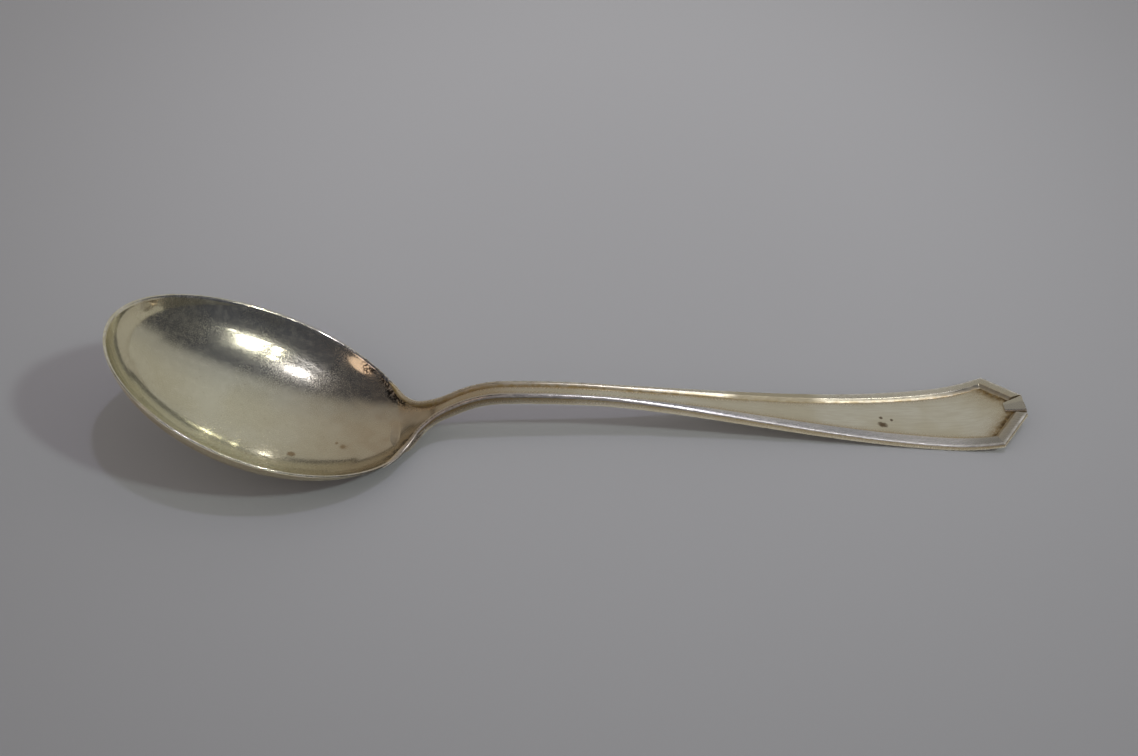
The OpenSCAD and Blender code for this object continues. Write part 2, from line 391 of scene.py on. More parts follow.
# The gable's mouldings meet the threads on a mitre, which leans back from the corner.
CORNER_SLOPE = math.atan2(half_width(CORNER_X) - half_width(CORNER_X - SMALL_STEP), SMALL_STEP)
GABLE_SLOPE = math.atan2((END_WIDTH - POINT_WIDTH) / 2, GABLE_LENGTH)
MITRE_LEAN = math.tan((GABLE_SLOPE - CORNER_SLOPE) / 2)
GABLE_CORNER = np.array([CORNER_X, END_WIDTH / 2])
GABLE_INNER_CORNER = GABLE_CORNER - THREAD_WIDTH_END * np.array([MITRE_LEAN, 1])
GABLE_POINT = np.array([OVERALL_LENGTH, POINT_WIDTH / 2])
GABLE_AWAY = GABLE_POINT - GABLE_CORNER
KEYSTONE_SLOPE = (KEYSTONE_WIDTH - KEYSTONE_INNER_WIDTH) / 2 / KEYSTONE_LENGTH
GROOVE_Y = GABLE_POINT[1] - (OVERALL_LENGTH - GABLE_INNER_CORNER[0]) * KEYSTONE_SLOPE
GABLE_SHARE = (GROOVE_Y - GABLE_INNER_CORNER[1]) / (GABLE_AWAY[1] - KEYSTONE_SLOPE * GABLE_AWAY[0])
GABLE_INNER_POINT = GABLE_INNER_CORNER + GABLE_SHARE * GABLE_AWAY

# Handle
BACK_LINES = 21
PANEL_LINES = 31
UNDER_THREAD = np.array([0.4, 0.7, 1])
EDGE_TURN = 0.18
FLOW_STEPS = 16
NECK_STEPS = 28
ARCH_STEPS = 20
SHAFT_STEPS = 50
CURL_STEPS = 18
END_STEPS = 22
RECESS_REACH = 0.45
RECESS_MOST = 0.85
GABLE_REACH = 1.8
GABLE_MOST = 1.3
HEEL_LIFT = 0.65


def back_up(x, share):
    """Height of the back off its middle, which is rounded up at the edges, and more so by the bowl."""
    edge = (np.maximum(0, np.abs(share) - BACK_FLAT) / (1 - BACK_FLAT)) ** 2
    return mix(BACK_ROUND + HEEL_LIFT, BACK_ROUND, along_shoulder(x)) * edge


def drop_point(share, t):
    """The back of the drop, from its end, 0, to the start of the neck, 1."""
    end_share = 1 - DROP_LENGTH / BOWL_HALF
    half = mix(DROP_WIDTH, SHOULDER_WIDTH, t ** DROP_ROUND) / 2
    seat = across_point(mix(end_share, 1, t), share * half)
    end = across_point(end_share, share * DROP_WIDTH / 2) - np.array([0, 0, DROP_THICKNESS])
    first = eased_point(NECK_START_X, share, back_up(NECK_START_X, share))
    turn = first - DROP_TURN * np.array([math.cos(NECK_RISE), 0, math.sin(NECK_RISE)])
    place = curve(end, turn, first, t)
    return point(place[..., 0], seat[..., 1], place[..., 2])


def shaft_stations():
    """Places along the handle past the flow out of the bowl, closer together where it bends."""
    return np.concatenate([
        np.linspace(FLOW_END_X, ARCH_X, NECK_STEPS, endpoint=False),
        np.linspace(ARCH_X, NECK_X, ARCH_STEPS, endpoint=False),
        np.linspace(NECK_X, TOUCH_X, SHAFT_STEPS, endpoint=False),
        np.linspace(TOUCH_X, STRAIGHT_X, CURL_STEPS, endpoint=False)])


def top_shares(x):
    """Lines across the top, closest together along the edges of the panel."""
    panel = panel_share(x)
    inner = panel * np.sin(np.linspace(-math.pi / 2, math.pi / 2, PANEL_LINES))
    outer = mix(panel, 1, UNDER_THREAD)
    return np.concatenate([-outer[::-1], inner, outer])


def panel_recess(x, share):
    """How close a point of the panel is to the mouldings around it."""
    across = np.abs(share) * half_width(x)
    beside = half_width(min(x, CORNER_X)) - thread_width(min(x, CORNER_X)) - across
    away = np.array([GABLE_AWAY[1], -GABLE_AWAY[0]]) / np.linalg.norm(GABLE_AWAY)
    before = (x - GABLE_INNER_CORNER[0]) * away[0] + (across - GABLE_INNER_CORNER[1]) * away[1]
    along_thread = RECESS_MOST * np.exp(-np.maximum(0, beside) / RECESS_REACH)
    along_gable = GABLE_MOST * np.exp(-np.maximum(0, before) / GABLE_REACH)
    return np.minimum(1, np.maximum(along_thread, along_gable))


def handle_loop(back, top):
    """One loop across the handle: its back, with rounded edges, and its top."""
    left = rounded(mix(back[0], top[0], EDGE_TURN), back[0], back[1])
    right = rounded(back[-2], back[-1], mix(back[-1], top[-1], EDGE_TURN))
    return np.concatenate([left, back[2:-2], right, top[::-1]])


def flow_back(share, t):
    """The back of the handle under the flow: the drop, and then the start of the neck."""
    if t < FLOW_RIM:
        return drop_point(share, t / FLOW_RIM)
    x = mix(NECK_START_X, FLOW_END_X, (t - FLOW_RIM) / (1 - FLOW_RIM))
    return eased_point(x, share, back_up(x, share))


def make_handle(material):
    back_shares = np.linspace(-1, 1, BACK_LINES)
    loops = []
    top_recess = []
    for t in np.linspace(0, 1, FLOW_STEPS, endpoint=False):
        shares = top_shares(FLOW_END_X)
        loops.append(handle_loop(flow_back(back_shares, t), flow_point(shares, t)))
        top_recess.append(panel_recess(FLOW_END_X, shares) * ease(t))
    for x in np.concatenate([shaft_stations(), np.linspace(STRAIGHT_X, OVERALL_LENGTH, END_STEPS)]):
        shares = top_shares(x)
        back = eased_point(x, back_shares, back_up(x, back_shares))
        loops.append(handle_loop(back, top_point(x, shares)))
        top_recess.append(panel_recess(x, shares))
    points, faces = skin(loops)
    points[:, 2] = np.maximum(points[:, 2], 0)
    above = len(top_recess[0])
    below = len(loops[0]) - above
    recess_and_shade = np.concatenate([np.concatenate([np.zeros(below), row[::-1]]) for row in top_recess])
    wear = np.tile(np.concatenate([np.ones(below), np.zeros(above)]), len(loops))
    return new_piece("handle_bar", points, faces, material, recess_and_shade, wear)


# Threads and end mouldings
PROFILE_STEPS = 7
OUTER_SHARE = 0.1
OUTER_LOW = 0.1
OUTER_HIGH = 0.42
BEVEL_WIDTH = 0.74
BEVEL_MOST = 0.42
FLAT_WIDTH = 2.5
# Places across the band and the bevel of a wide thread, each with its height
BAND = [(0.2, 0.54), (0.4, 0.67), (0.6, 0.79), (0.8, 0.91), (0.93, 0.975), (1, 0.99)]
BEVEL = [(0.05, 0.96), (0.15, 0.85), (0.4, 0.55), (0.7, 0.22), (0.88, 0.07), (1, 0)]
THREAD_SINK = 0.35
THREAD_INSET = 0.04
THREAD_RECESS = 0.35
BAR_RECESS = 0.9
WEAR_PLACE = 0.07
WEAR_REACH = 0.07

# A thread starts at its tip on the rim, bends up from it and goes on along the handle's shaft
TIP_ANGLE = math.radians(36)
TIP_SINK = 0.3
TIP_STEPS = 12
TIP_WIDTH_SHARE = 0.5
TIP_DEPTH_SHARE = 0.1
START_ANGLE = math.asin(SHOULDER_WIDTH / BOWL_WIDTH)
BEND_TURN = math.radians(7)
BEND_ANGLE = START_ANGLE + BEND_TURN
BEND_LENGTH = 2.4
BEND_X = NECK_START_X + BEND_LENGTH
BEND_SINK = 0.9
BEND_STEPS = 14
BEND_WIDTH_SHARE = 0.8
BEND_HEIGHT_SHARE = 0.25
BEND_DEPTH_SHARE = 0.6
SHAFT_HEIGHT_SHARE = 0.6
SHAFT_START_STEPS = 6
MITRE_STEPS = 4


def thread_profile(width):
    """Outline across a thread from its outer edge, as shares of its width and height.

    A wide thread has a rounded outer edge, a band that rises to a ridge, and a bevel down to the panel.
    A narrow one is half round.
    """
    quarter = np.linspace(0, math.pi / 2, PROFILE_STEPS)
    ridge = 1 - min(BEVEL_WIDTH / width, BEVEL_MOST)
    outer = np.stack([OUTER_SHARE * (1 - np.cos(quarter)), mix(OUTER_LOW, OUTER_HIGH, np.sin(quarter))], -1)
    band = np.array(BAND)
    band[:, 0] = mix(OUTER_SHARE, ridge, band[:, 0])
    bevel = np.array(BEVEL)
    bevel[:, 0] = mix(ridge, 1, bevel[:, 0])
    flat = np.concatenate([[(0, 0)], outer, band, bevel])
    half_round = np.sqrt(1 - (1 - 2 * flat[:, 0]) ** 2)
    flatness = part_way(width, THREAD_WIDTH_NECK, FLAT_WIDTH)
    return np.stack([flat[:, 0], mix(half_round, flat[:, 1], flatness)], -1)


def thread_path():
    """The outer edge of a thread: along the rim, in a bend up from it, and along the handle.

    Each place comes with its upward direction and the width, height and depth of the thread there.
    """
    lip_up = np.array([math.sin(BOWL_TILT), 0, math.cos(BOWL_TILT)])
    on_rim = np.linspace(0, 1, TIP_STEPS, endpoint=False)
    rim = bowl_point(1, mix(TIP_ANGLE, BEND_ANGLE, on_rim))
    rim = rim - lip_up * (TIP_SINK * (1 - ease(on_rim)))[:, None]
    on_bend = np.linspace(0, 1, BEND_STEPS, endpoint=False)
    bend_start = bowl_point(1, BEND_ANGLE)
    bend_corner = bowl_point(1, START_ANGLE)
    bend = curve(bend_start, bend_corner, top_point(BEND_X, 1), on_bend[:, None])
    shaft_x = np.concatenate([
        np.linspace(BEND_X, FLOW_END_X, SHAFT_START_STEPS, endpoint=False),
        shaft_stations(),
        np.linspace(STRAIGHT_X, GABLE_INNER_CORNER[0], MITRE_STEPS, endpoint=False)])
    slope = back_slope(shaft_x)
    shaft_up = point(-np.sin(slope), np.zeros(len(slope)), np.cos(slope))
    bend_up = unit(mix(lip_up, shaft_up[0], ease(on_bend)[:, None]))
    grown = part_way(shaft_x, BEND_X, SHOULDER_X)
    path = np.concatenate([rim, bend, top_point(shaft_x, 1)])
    up = np.concatenate([np.tile(lip_up, (TIP_STEPS, 1)), bend_up, shaft_up])
    widths = np.concatenate([
        THREAD_WIDTH_NECK * mix(TIP_WIDTH_SHARE, BEND_WIDTH_SHARE, on_rim),
        THREAD_WIDTH_NECK * mix(BEND_WIDTH_SHARE, 1, on_bend),
        thread_width(shaft_x)])
    heights = MOULDING_HEIGHT * np.concatenate([
        BEND_HEIGHT_SHARE * on_rim,
        mix(BEND_HEIGHT_SHARE, SHAFT_HEIGHT_SHARE, on_bend),
        mix(SHAFT_HEIGHT_SHARE, 1, grown)])
    depths = np.concatenate([
        BEND_SINK * mix(TIP_DEPTH_SHARE, BEND_DEPTH_SHARE, on_rim),
        BEND_SINK * mix(BEND_DEPTH_SHARE, 1, on_bend),
        mix(BEND_SINK, THREAD_SINK, grown)])
    return path, up, widths, heights, depths


def thread_loop(edge, inward, up, width, height, depth):
    """A loop round a thread: its sunk foot, and then back over its top to the outer edge."""
    profile = thread_profile(width)
    raised = edge + inward * (width * profile[:, :1]) + up * (height * profile[:, 1:])
    ends = np.array([THREAD_INSET, width])[:, None]
    foot = edge + inward * ends - up * depth
    return np.concatenate([foot, raised[::-1]])


def profile_recess(width, reach):
    """Tarnish along a thread's loop, which stays at the inner foot."""
    inner = np.exp(-(1 - thread_profile(width)[:, 0]) * width / reach)
    return np.concatenate([[0, 1], inner[::-1]])


def profile_wear(width):
    """Wear along a thread's loop, which is most on the outer edge."""
    edge = np.exp(-((thread_profile(width)[:, 0] - WEAR_PLACE) / WEAR_REACH) ** 2)
    return np.concatenate([[0, 0], edge[::-1]])


def mirrored(loops, side):
    return [loop * np.array([1, side, 1]) for loop in loops]


def make_thread(name, side, material):
    """The thread on the left side, -1, or on the right side, 1."""
    path, up, widths, heights, depths = thread_path()
    along = unit(np.gradient(path, axis=0))
    up = unit(up - along * (up * along).sum(-1, keepdims=True))
    inward = np.cross(along, up)
    loops = [thread_loop(*section) for section in zip(path, inward, up, widths, heights, depths)]
    loops.append(gable_loop(GABLE_CORNER, GABLE_INNER_CORNER))
    widths = np.append(widths, THREAD_WIDTH_END)
    recess_and_shade = np.concatenate([profile_recess(width, THREAD_RECESS) for width in widths])
    wear = np.concatenate([profile_wear(width) for width in widths])
    points, faces = skin(mirrored(loops, side), flipped=side < 0)
    return new_piece(name, points, faces, material, recess_and_shade, wear)


def gable_loop(outer, inner):
    """A loop across a thread or moulding on the straight end, from its outer corner to its inner one."""
    profile = thread_profile(THREAD_WIDTH_END)
    place = outer + (inner - outer) * profile[:, :1]
    up = core_thickness(place[:, 0]) + MOULDING_HEIGHT * profile[:, 1]
    raised = handle_point(place[:, 0], place[:, 1], up)
    ends = np.array([mix(outer, inner, THREAD_INSET / THREAD_WIDTH_END), inner])
    foot = handle_point(ends[:, 0], ends[:, 1], core_thickness(ends[:, 0]) - THREAD_SINK)
    return np.concatenate([foot, raised[::-1]])


BAR_STEPS = 10


def make_end_bar(name, side, material):
    """The end moulding on the left side, -1, or on the right side, 1."""
    loops = []
    for t in np.linspace(0, 1, BAR_STEPS):
        outer = mix(GABLE_CORNER, GABLE_POINT, t)
        inner = mix(GABLE_INNER_CORNER, GABLE_INNER_POINT, t)
        loops.append(gable_loop(outer, inner))
    recess_and_shade = np.tile(profile_recess(THREAD_WIDTH_END, BAR_RECESS), BAR_STEPS)
    wear = np.tile(profile_wear(THREAD_WIDTH_END), BAR_STEPS)
    points, faces = skin(mirrored(loops, side), flipped=side < 0)
    return new_piece(name, points, faces, material, recess_and_shade, wear)


# Outline across the keystone, from its foot to its top, as shares of its half width and its height
KEYSTONE_RIGHT = [(1, 0), (1, 0.6), (0.97, 0.75), (0.9, 0.88), (0.78, 0.97), (0.6, 1)]
KEYSTONE_LEFT = [(-across, up) for across, up in KEYSTONE_RIGHT]
KEYSTONE_TOP = (0, 1.03)
KEYSTONE_PROFILE = np.array(KEYSTONE_LEFT + [KEYSTONE_TOP] + KEYSTONE_RIGHT[::-1])
KEYSTONE_STEPS = 8


def make_keystone(material):
    loops = []
    for t in np.linspace(0, 1, KEYSTONE_STEPS):
        x = mix(OVERALL_LENGTH - KEYSTONE_LENGTH, OVERALL_LENGTH, t)
        across = mix(KEYSTONE_INNER_WIDTH, KEYSTONE_WIDTH, t) / 2 * KEYSTONE_PROFILE[:, 0]
        raised = handle_point(x, across, core_thickness(x) + MOULDING_HEIGHT * KEYSTONE_PROFILE[:, 1])
        foot = handle_point(x, across[[0, -1]], core_thickness(x) - THREAD_SINK)
        loops.append(np.concatenate([foot, raised[::-1]]))
    points, faces = skin(loops)
    sides = np.concatenate([[1, 1], 1 - KEYSTONE_PROFILE[::-1, 1].clip(0, 1)])
    recess_and_shade = np.tile(sides, KEYSTONE_STEPS)
    return new_piece("end_keystone", points, faces, material, recess_and_shade, np.zeros(len(points)))


# Nodes
def add(tree, kind, settings=None, inputs=None):
    """A node with its settings, and with its inputs set to values or linked to other nodes."""
    made = tree.nodes.new(kind)
    for key, value in (settings or {}).items():
        setattr(made, key, value)
    for key, value in (inputs or {}).items():
        if isinstance(value, bpy.types.NodeSocket):
            tree.links.new(value, made.inputs[key])
        else:
            made.inputs[key].default_value = value
    return made


def calc(tree, operation, *values):
    return add(tree, "ShaderNodeMath", {"operation": operation}, dict(enumerate(values))).outputs[0]


def times(tree, first, second):
    return calc(tree, "MULTIPLY", first, second)


def plus(tree, base, share, amount):
    """A base value, and the share of an amount added to it."""
    return calc(tree, "MULTIPLY_ADD", share, amount, base)


def vector_calc(tree, operation, *values):
    return add(tree, "ShaderNodeVectorMath", {"operation": operation}, dict(enumerate(values))).outputs


def coordinate(tree, place, axis):
    return add(tree, "ShaderNodeSeparateXYZ", None, {0: place}).outputs[axis]


def spread(tree, value, start, end, low=0.0, high=1.0):
    """A value that goes smoothly from low at the start to high at the end."""
    made = add(tree, "ShaderNodeMapRange", {"interpolation_type": "SMOOTHSTEP"},
               {"Value": value, "From Min": start, "From Max": end, "To Min": low, "To Max": high})
    return made.outputs[0]


def between(tree, share, low, high):
    """A value that goes smoothly from low at a share of 0 to high at a share of 1."""
    return spread(tree, share, 0, 1, low, high)


# The mix node's sockets for colours go by number, because their names repeat
MIX_FIRST = 6
MIX_SECOND = 7
MIX_RESULT = 2


def blend(tree, share, first, second):
    inputs = {0: share, MIX_FIRST: first, MIX_SECOND: second}
    return add(tree, "ShaderNodeMix", {"data_type": "RGBA"}, inputs).outputs[MIX_RESULT]


def place_in_mm(tree):
    """Places on the spoon in millimetres from the tip of the bowl."""
    seen = add(tree, "ShaderNodeTexCoord").outputs["Object"]
    scale = (1 / MM, 1 / MM, 1 / MM)
    return vector_calc(tree, "MULTIPLY_ADD", seen, scale, (OVERALL_LENGTH / 2, 0, 0))["Vector"]


def noise(tree, place, per_mm, detail, stretch=(1, 1, 1), low=0.35, high=0.65):
    """Noise from 0 to 1, with its values between low and high spread out."""
    scaled = vector_calc(tree, "MULTIPLY", place, stretch)["Vector"]
    texture = add(tree, "ShaderNodeTexNoise", None, {"Vector": scaled, "Scale": per_mm, "Detail": detail})
    return spread(tree, texture.outputs[0], low, high)


# How far a spot's border wanders, and where it starts and ends, as shares of the spot's reach
BORDER_RAGGED = 0.5
BORDER_OUTER = 1.3
BORDER_INNER = 0.7


def near(tree, place, spot, reach, ragged):
    """1 at a spot, falling to 0 about its reach away, with a ragged border."""
    away = vector_calc(tree, "DISTANCE", place, spot)["Value"]
    away = plus(tree, away, ragged, BORDER_RAGGED * reach)
    return spread(tree, away, BORDER_OUTER * reach, BORDER_INNER * reach)


def attribute(tree, name):
    return add(tree, "ShaderNodeAttribute", {"attribute_name": name}).outputs["Fac"]


# Materials: old silver, yellow with tarnish, brown by the bowl's heel, and bright where it is rubbed
RUBBED = (0.95, 0.93, 0.9, 1)
WAVE_DEPTH = 0.012
MARK_DEPTH = 0.0012


def new_silver(name):
    material = bpy.data.materials.new(name)
    material.use_nodes = True
    tree = material.node_tree
    return material, tree, place_in_mm(tree)


def finish_silver(tree, colour, metal, roughness, marks, waves):
    """Joins a silver's colour, metal and roughness to its shader, with fine marks over slow waves."""
    shader = tree.nodes["Principled BSDF"]
    tree.links.new(metal, shader.inputs["Metallic"])
    tree.links.new(colour, shader.inputs["Base Color"])
    tree.links.new(roughness, shader.inputs["Roughness"])
    slow = add(tree, "ShaderNodeBump", None, {"Height": waves, "Strength": 1, "Distance": WAVE_DEPTH * MM})
    bump = add(tree, "ShaderNodeBump", None,
               {"Height": marks, "Strength": 1, "Distance": MARK_DEPTH * MM, "Normal": slow.outputs[0]})
    tree.links.new(bump.outputs[0], shader.inputs["Normal"])


BROWN = (0.48, 0.38, 0.265, 1)
BROWN_CENTRE = (HEEL_X + 4, 0, HEEL_Z + 3)
BROWN_CORE = 5
BROWN_LEAST = 0.84
BROWN_MOST = 0.96


def heel_share(tree, place, reach):
    """How brown the silver is: most around the heel, where the neck leaves the bowl."""
    away = vector_calc(tree, "DISTANCE", place, BROWN_CENTRE)["Value"]
    mottle = noise(tree, place, per_mm=0.4, detail=3)
    return times(tree, spread(tree, away, reach, BROWN_CORE), between(tree, mottle, BROWN_LEAST, BROWN_MOST))


END_START_X = CORNER_X - 10
END_FULL_X = CORNER_X - 1


def at_end(tree, place):
    """1 on the end of the handle, and 0 well before its corners."""
    return spread(tree, coordinate(tree, place, "X"), END_START_X, END_FULL_X)


def recessed_and_shaded(tree, colour, mottle, tint, least):
    """Tarnish that stays in corners, and on the bowl painted shade outside towards the lip, thinned by the
    mottle to its least share.
    """
    share = times(tree, attribute(tree, "recess_and_shade"), between(tree, mottle, least, 1))
    return blend(tree, share, colour, tint)


LINE = (0.1, 0.065, 0.03, 1)
LINE_POWER = 4
LINE_LEAST = 0.3


def lined(tree, place, colour, mottle):
    """Dark lines in the deepest corners of the handle's end."""
    deep = calc(tree, "POWER", attribute(tree, "recess_and_shade"), LINE_POWER)
    deep_end = times(tree, deep, at_end(tree, place))
    share = times(tree, deep_end, between(tree, mottle, LINE_LEAST, 1))
    return blend(tree, share, colour, LINE)


def stained(tree, place, colour, mottle, spots, tint):
    """Stains at spots, each given by its place and its reach."""
    for spot, reach in spots:
        colour = blend(tree, near(tree, place, spot, reach, mottle), colour, tint)
    return colour


SPECK = (0.05, 0.04, 0.03, 1)
HEEL_SPECKS = [
    ((47.6, 14.4, 6.2), 2.3),
    ((50, 12, 5.2), 2.6),
    ((52.2, 9.4, 4.4), 2.6),
    ((53.8, 6.6, 3.8), 2.2),
    ((55.6, -3.4, 4.1), 1.1),
    ((54.2, -4.8, 3.4), 1.3),
    ((52.5, -6.7, 3.1), 1.4),
    ((51, -8.4, 3.2), 1.3)]


def speckled(tree, place, colour):
    """Dark specks on both sides of the heel, in spots given by their place and their reach."""
    grain = noise(tree, place, per_mm=2.2, detail=4, low=0.42, high=0.52)
    clouds = noise(tree, place, per_mm=0.3, detail=2)
    for spot, reach in HEEL_SPECKS:
        share = times(tree, near(tree, place, spot, reach, clouds), grain)
        colour = blend(tree, share, colour, SPECK)
    return colour


# Silver of the bowl
BOWL_PALE = (0.89, 0.89, 0.75, 1)
BOWL_DEEP = (0.82, 0.805, 0.64, 1)
BOWL_TIP = (0.62, 0.57, 0.4, 1)
BOWL_TIP_START_X = 24
BOWL_TIP_FULL_X = 4
BOWL_TIP_MOST = 0.55
BOWL_BROWN_REACH = 45
BOWL_SHADE_AND_LINE_TINT = (0.33, 0.28, 0.19, 1)
BOWL_SHADE_AND_LINE_LEAST = 0.88
BOWL_STAIN = (0.38, 0.29, 0.18, 1)
BOWL_STAINS = [((32.2, -7.2, 3.7), 0.9), ((41.8, -3, 1.1), 1), ((40.5, -2.1, 1.2), 0.5)]
BOWL_FLECK = (0.42, 0.37, 0.27, 1)
BOWL_FLECK_MOST = 0.3
LIP_RUBBED_LEAST = 0.1
LIP_RUBBED_MOST = 0.5
BOWL_ROUGHNESS = 0.075
BOWL_CLOUD_ROUGHNESS = 0.03
BOWL_HAZE_ROUGHNESS = 0.19
BOWL_FILM_METAL = 0.965
HEEL_TARNISH = (51, 10.5, 5)
HEEL_TARNISH_REACH = 5
HEEL_TARNISH_METAL = -0.02


def bowl_silver():
    """Yellow silver, darker at the tip and brown at the heel, with scattered haze, a thin film, and painted
    shade outside towards the lip.
    """
    material, tree, place = new_silver("bowl_silver")
    clouds = noise(tree, place, per_mm=0.08, detail=3)
    mottle = noise(tree, place, per_mm=0.7, detail=4)
    grain = noise(tree, place, per_mm=3, detail=3)
    flecks = noise(tree, place, per_mm=1.6, detail=3, low=0.62, high=0.72)
    haze = noise(tree, place, per_mm=9, detail=1, low=0.5, high=0.61)
    film = noise(tree, place, per_mm=0.8, detail=5, low=0.42, high=0.7)
    along = coordinate(tree, place, "X")
    tip = spread(tree, along, BOWL_TIP_START_X, BOWL_TIP_FULL_X, 0, BOWL_TIP_MOST)
    rubbed = times(tree, attribute(tree, "wear"), between(tree, mottle, LIP_RUBBED_LEAST, LIP_RUBBED_MOST))
    colour = blend(tree, clouds, BOWL_PALE, BOWL_DEEP)
    colour = blend(tree, tip, colour, BOWL_TIP)
    colour = blend(tree, heel_share(tree, place, BOWL_BROWN_REACH), colour, BROWN)
    # Painted shade outside towards the lip, with some tarnish, and a darker line inside the lip
    colour = recessed_and_shaded(tree, colour, mottle, BOWL_SHADE_AND_LINE_TINT, BOWL_SHADE_AND_LINE_LEAST)
    colour = stained(tree, place, colour, mottle, BOWL_STAINS, BOWL_STAIN)
    colour = speckled(tree, place, colour)
    colour = blend(tree, times(tree, flecks, BOWL_FLECK_MOST), colour, BOWL_FLECK)
    colour = blend(tree, rubbed, colour, RUBBED)
    roughness = plus(tree, BOWL_ROUGHNESS, clouds, BOWL_CLOUD_ROUGHNESS)
    roughness = plus(tree, roughness, haze, BOWL_HAZE_ROUGHNESS)
    tarnished = near(tree, place, HEEL_TARNISH, HEEL_TARNISH_REACH, clouds)
    metal = between(tree, film, 1, BOWL_FILM_METAL)
    metal = plus(tree, metal, tarnished, HEEL_TARNISH_METAL)
    finish_silver(tree, colour, metal, roughness, grain, clouds)
    return material


# Silver of the handle, where wear marks its back
HANDLE_PALE = (0.86, 0.845, 0.745, 1)
HANDLE_DEEP = (0.77, 0.73, 0.59, 1)
HANDLE_STREAK = (0.66, 0.62, 0.5, 1)
HANDLE_STREAK_MOST = 0.3
HANDLE_BROWN_REACH = 36
BACK_BROWN_LEAST = 0.3
HANDLE_RECESS = (0.31, 0.2, 0.06, 1)
HANDLE_RECESS_LEAST = 0.7
PANEL_STAIN = (0.2, 0.15, 0.1, 1)
PANEL_STAINS = [((148.8, -2.2, 1.8), 1.1), ((149, -0.2, 1.8), 0.45), ((151, -0.7, 1.6), 0.35)]
HANDLE_ROUGHNESS = 0.16
HANDLE_GRAIN_ROUGHNESS = 0.08
HANDLE_RECESS_ROUGHNESS = 0.2
HANDLE_RECESS_METAL = 0.85
BACK_METAL = -0.14
HANDLE_GRAIN_MARKS = 0.4


def handle_silver():
    """Streaked silver, brown at the heel, with dark tarnish in the corners of its end."""
    material, tree, place = new_silver("handle_silver")
    clouds = noise(tree, place, per_mm=0.1, detail=3)
    mottle = noise(tree, place, per_mm=0.8, detail=4)
    grain = noise(tree, place, per_mm=3, detail=3)
    streaks = noise(tree, place, per_mm=1, detail=3, stretch=(0.12, 2.2, 2.2))
    wear = attribute(tree, "wear")
    recess_and_shade = attribute(tree, "recess_and_shade")
    rubbed = between(tree, wear, 1, BACK_BROWN_LEAST)
    brown = times(tree, heel_share(tree, place, HANDLE_BROWN_REACH), rubbed)
    colour = blend(tree, clouds, HANDLE_PALE, HANDLE_DEEP)
    colour = blend(tree, times(tree, streaks, HANDLE_STREAK_MOST), colour, HANDLE_STREAK)
    colour = blend(tree, brown, colour, BROWN)
    colour = recessed_and_shaded(tree, colour, grain, HANDLE_RECESS, HANDLE_RECESS_LEAST)
    colour = lined(tree, place, colour, mottle)
    colour = speckled(tree, place, colour)
    colour = stained(tree, place, colour, mottle, PANEL_STAINS, PANEL_STAIN)
    roughness = plus(tree, HANDLE_ROUGHNESS, grain, HANDLE_GRAIN_ROUGHNESS)
    roughness = plus(tree, roughness, recess_and_shade, HANDLE_RECESS_ROUGHNESS)
    metal = between(tree, recess_and_shade, 1, HANDLE_RECESS_METAL)
    metal = plus(tree, metal, wear, BACK_METAL)
    marks = plus(tree, streaks, grain, HANDLE_GRAIN_MARKS)
    finish_silver(tree, colour, metal, roughness, marks, clouds)
    return material


# Silver of the threads, the end mouldings and the keystone
MOULDING_PALE = (0.79, 0.77, 0.75, 1)
MOULDING_DEEP = (0.62, 0.62, 0.63, 1)
# Painted reflection: a yellow tint on the right side
RIGHT_REFLECTION_TINT = (0.72, 0.68, 0.52, 1)
RIGHT_REFLECTION_MOST = 0.5
END_TINT = (0.6, 0.57, 0.48, 1)
# Painted shade on the left end
LEFT_END_SHADE_TINT = (0.37, 0.355, 0.335, 1)
LEFT_END_SHADE_MOST = 0.55
MOULDING_BROWN_REACH = 30
MOULDING_BROWN_MOST = 0.8
MOULDING_RECESS = (0.42, 0.31, 0.14, 1)
MOULDING_RECESS_LEAST = 0.55
MOULDING_RUBBED_LEAST = 0.4
MOULDING_ROUGHNESS = 0.2
MOULDING_GRAIN_ROUGHNESS = 0.12
MOULDING_WEAR_ROUGHNESS = 0.18
MOULDING_RECESS_ROUGHNESS = 0.2
MOULDING_RECESS_METAL = 0.75
# A stretch of the right thread that shows no highlight: rougher, and darkened with painted shade
DULL_START_X = 121
DULL_END_X = 134
DULL_FADE = 5
DULL_SHADE_TINT = (0.5, 0.45, 0.31, 1)
DULL_SHADE_MOST = 0.7
DULL_ROUGHNESS = 0.3


def on_right(tree, place):
    """1 on the right side of the spoon, and 0 on its left."""
    return spread(tree, coordinate(tree, place, "Y"), 0, 1)


def dull_shaded_stretch(tree, place):
    """1 on a stretch of the right thread that is rougher and darkened with painted shade, and 0 elsewhere.
    """
    along = coordinate(tree, place, "X")
    started = spread(tree, along, DULL_START_X - DULL_FADE, DULL_START_X)
    ended = spread(tree, along, DULL_END_X + DULL_FADE, DULL_END_X)
    return times(tree, on_right(tree, place), times(tree, started, ended))


